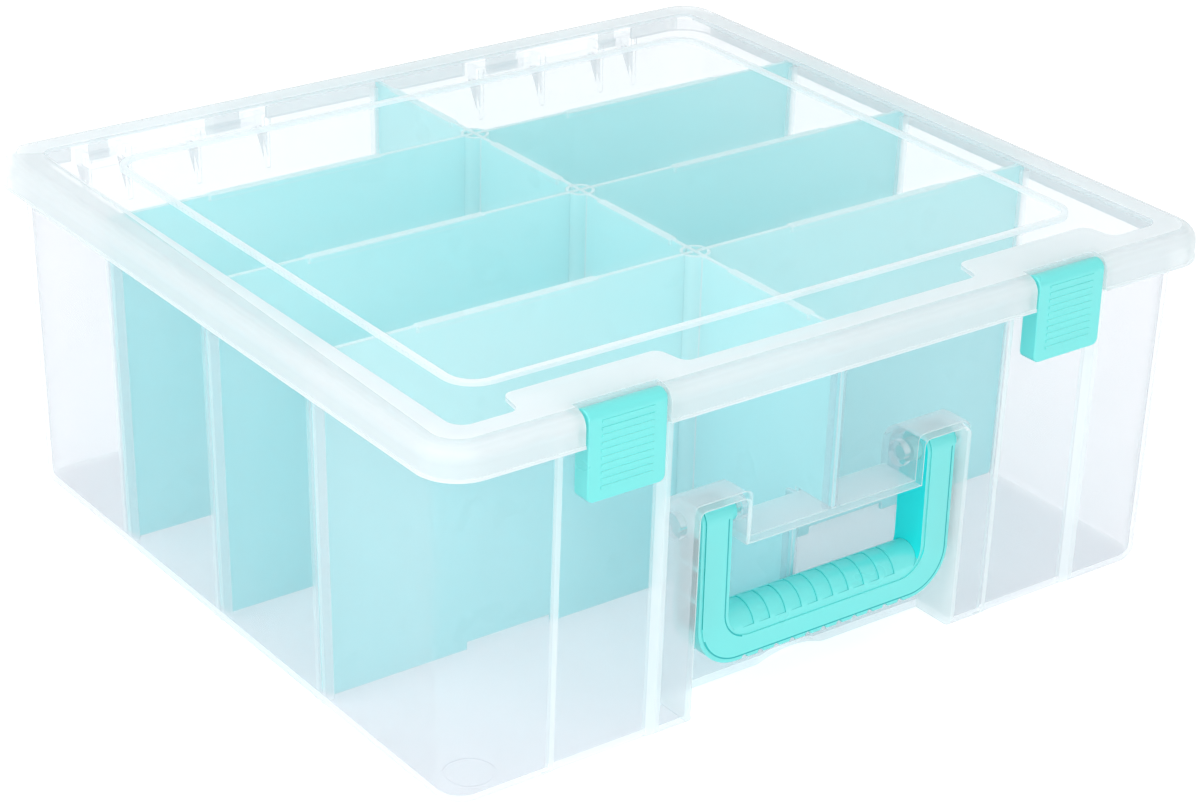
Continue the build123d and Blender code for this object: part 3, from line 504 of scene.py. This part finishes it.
# Pieces
def moulded_piece(node, body, radius, materials, face_material, cuts=(), shape=None, hinge=None):
    """Dresses a copy of a moulded piece, which then takes its node's place.

    The facets are joined into faces, which are parted at the cuts, places along the width.
    Then a test gives each face its material, painted highlights and painted shade among them,
    shape works on the piece in edit mode, and the sharp edges that are left are rounded in the
    second material, a painted highlight. At last the faces that hinge chooses by their middle get
    the last material.
    """
    solid = frame["nodes"][node]
    piece = bpy.data.objects.new(f"{node}_moulding", solid.data.copy())
    scene.collection.objects.link(piece)
    bpy.ops.object.select_all(action="DESELECT")
    piece.select_set(True)
    bpy.context.view_layer.objects.active = piece
    bpy.ops.mesh.customdata_custom_splitnormals_clear()
    bpy.ops.object.mode_set(mode="EDIT")
    bpy.ops.mesh.select_all(action="SELECT")
    bpy.ops.mesh.remove_doubles(threshold=MERGE_DISTANCE)
    bpy.ops.mesh.dissolve_limited(angle_limit=FLAT)
    for cut in cuts:
        bpy.ops.mesh.select_all(action="SELECT")
        bpy.ops.mesh.bisect(plane_co=(cut, 0.0, 0.0), plane_no=(1.0, 0.0, 0.0))
    bpy.ops.object.mode_set(mode="OBJECT")
    piece.data.materials.clear()
    for material in materials:
        piece.data.materials.append(material)
    for face in piece.data.polygons:
        face.material_index = face_material(face.center, face.normal)
    if shape:
        bpy.ops.object.mode_set(mode="EDIT")
        shape(piece)
        bpy.ops.object.mode_set(mode="OBJECT")
    # The sharp edges are rounded in the material of the painted highlight
    rounding = piece.modifiers.new("rounded_edges", "BEVEL")
    rounding.width = radius
    rounding.segments = 2
    rounding.limit_method = "ANGLE"
    rounding.angle_limit = SHARP
    rounding.material = PAINTED_HIGHLIGHT_SLOT
    rounding.use_clamp_overlap = True
    bpy.ops.object.modifier_apply(modifier=rounding.name)
    for face in piece.data.polygons:
        if hinge and hinge(face.center):
            face.material_index = len(materials) - 1
    bpy.ops.object.shade_smooth_by_angle(angle=SHARP)
    flat_faces = piece.modifiers.new("flat_faces", "WEIGHTED_NORMAL")
    flat_faces.keep_sharp = True
    bpy.ops.object.modifier_apply(modifier=flat_faces.name)
    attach(piece, body)
    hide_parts(node)


moulded_piece(
    "tray",
    "tray_body",
    TRAY_ROUNDING,
    (tray_clear, tray_painted_highlights, tray_frosted, tray_gussets, tray_floor, tray_hinge),
    tray_materials_and_highlights,
    cuts=[half * place for half in (1.0, -1.0) for sides in CHANNEL_SIDES for place in sides],
    shape=shape_tray,
    hinge=on_brackets,
)
moulded_piece(
    "lid",
    "lid_body",
    LID_ROUNDING,
    (lid_clear, lid_painted_highlights, lid_frame, lid_hooks),
    lid_materials_and_highlights,
    hinge=on_hooks,
)
for side in ("left", "right"):
    moulded_piece(
        f"latch_{side}",
        f"{side}_latch_body",
        AQUA_ROUNDING,
        (aqua_satin, aqua_painted_highlights),
        latch_rib_highlights,
    )
moulded_piece(
    "handle",
    "handle_body",
    AQUA_ROUNDING,
    (aqua_satin, aqua_painted_highlights, aqua_painted_shade, aqua_painted_bounce_shade),
    handle_painted_shade,
    shape=shape_handle,
)
for divider in (
    "long_divider",
    "back_left_divider",
    "back_right_divider",
    "middle_left_divider",
    "middle_right_divider",
    "front_left_divider",
    "front_right_divider",
):
    moulded_piece(
        divider,
        "tray_body",
        DIVIDER_ROUNDING,
        (divider_body, divider_painted_highlights),
        divider_top_highlights,
    )


# Studio: a pale floor and a white sky, which the camera, glossy faces and clear ones see white
FLOOR_HEIGHT = -0.0002
FLOOR_COLOUR = (0.85, 0.85, 0.85, 1.0)
FLOOR_LIFT = 0.55
SKY_AT_HORIZON = 1.34
SKY_OVERHEAD = 0.94
SKY_SEEN = 1.0


def seen_directly(nodes, links):
    """1 for rays from the camera, from glossy faces and through clear ones, and 0 for others."""
    path = nodes.new("ShaderNodeLightPath")
    direct = path.outputs["Is Camera Ray"]
    for ray in ("Is Glossy Ray", "Is Transmission Ray"):
        either = nodes.new("ShaderNodeMath")
        either.operation = "MAXIMUM"
        links.new(direct, either.inputs[0])
        links.new(path.outputs[ray], either.inputs[1])
        direct = either.outputs["Value"]
    return direct


bpy.ops.mesh.primitive_plane_add(size=16.0, location=(0.0, 0.0, FLOOR_HEIGHT))
floor = bpy.context.object
floor.name = "studio_floor"
floor_material, nodes, links = new_material("studio_floor")
paint = nodes.new("ShaderNodeBsdfPrincipled")
paint.inputs["Base Color"].default_value = FLOOR_COLOUR
paint.inputs["Roughness"].default_value = 0.7
lift = nodes.new("ShaderNodeEmission")
lift.inputs["Color"].default_value = (1.0, 1.0, 1.0, 1.0)
strength = nodes.new("ShaderNodeMath")
strength.operation = "MULTIPLY"
strength.inputs[1].default_value = FLOOR_LIFT
links.new(seen_directly(nodes, links), strength.inputs[0])
links.new(strength.outputs["Value"], lift.inputs["Strength"])
both = nodes.new("ShaderNodeAddShader")
links.new(paint.outputs["BSDF"], both.inputs[0])
links.new(lift.outputs["Emission"], both.inputs[1])
output = nodes.new("ShaderNodeOutputMaterial")
links.new(both.outputs["Shader"], output.inputs["Surface"])
floor.data.materials.append(floor_material)

world = bpy.data.worlds.new("white_studio")
scene.world = world
world.use_nodes = True
nodes = world.node_tree.nodes
links = world.node_tree.links
nodes.clear()
place = nodes.new("ShaderNodeTexCoord")
direction = nodes.new("ShaderNodeSeparateXYZ")
links.new(place.outputs["Generated"], direction.inputs["Vector"])
light_by_height = nodes.new("ShaderNodeMapRange")
light_by_height.inputs["To Min"].default_value = SKY_AT_HORIZON
light_by_height.inputs["To Max"].default_value = SKY_OVERHEAD
links.new(direction.outputs["Z"], light_by_height.inputs["Value"])
brightness = nodes.new("ShaderNodeMapRange")
brightness.inputs["To Max"].default_value = SKY_SEEN
links.new(light_by_height.outputs["Result"], brightness.inputs["To Min"])
links.new(seen_directly(nodes, links), brightness.inputs["Value"])
sky = nodes.new("ShaderNodeBackground")
links.new(brightness.outputs["Result"], sky.inputs["Strength"])
output = nodes.new("ShaderNodeOutputWorld")
links.new(sky.outputs["Background"], output.inputs["Surface"])


def softbox(name, place, aim, size, power):
    """A square lamp with a soft edge, turned towards a point."""
    bpy.ops.object.light_add(type="AREA", location=place)
    lamp = bpy.context.object
    lamp.name = name
    lamp.data.size = size
    lamp.data.energy = power
    lamp.rotation_euler = (Vector(aim) - Vector(place)).to_track_quat("-Z", "Y").to_euler()


softbox("key_softbox", (-1.0, -2.5, 0.9), (0.0, 0.0, 0.07), size=1.6, power=20.0)
softbox("side_softbox", (-1.1, -0.1, 1.0), (-0.15, 0.0, 0.10), size=1.0, power=6.0)

# Camera, with its height, turn and tilt found from the edges of the box in the picture
CAMERA_PLACE = (-0.72463, -0.98278, 0.64268)
CAMERA_TURN = 0.64426
CAMERA_TILT = 0.44976
CAMERA_ROLL = 0.02693
bpy.ops.object.camera_add(location=CAMERA_PLACE)
camera = bpy.context.object
camera.data.sensor_width = 36.0
camera.data.lens = 92.32
camera.data.shift_x = -0.00804
camera.data.shift_y = 0.00403
level = cos(CAMERA_TILT)
aim = Vector((sin(CAMERA_TURN) * level, cos(CAMERA_TURN) * level, -sin(CAMERA_TILT)))
upright = aim.to_track_quat("-Z", "Y").to_matrix()
camera.rotation_euler = (upright @ Matrix.Rotation(CAMERA_ROLL, 3, "Z")).to_euler()
scene.camera = camera
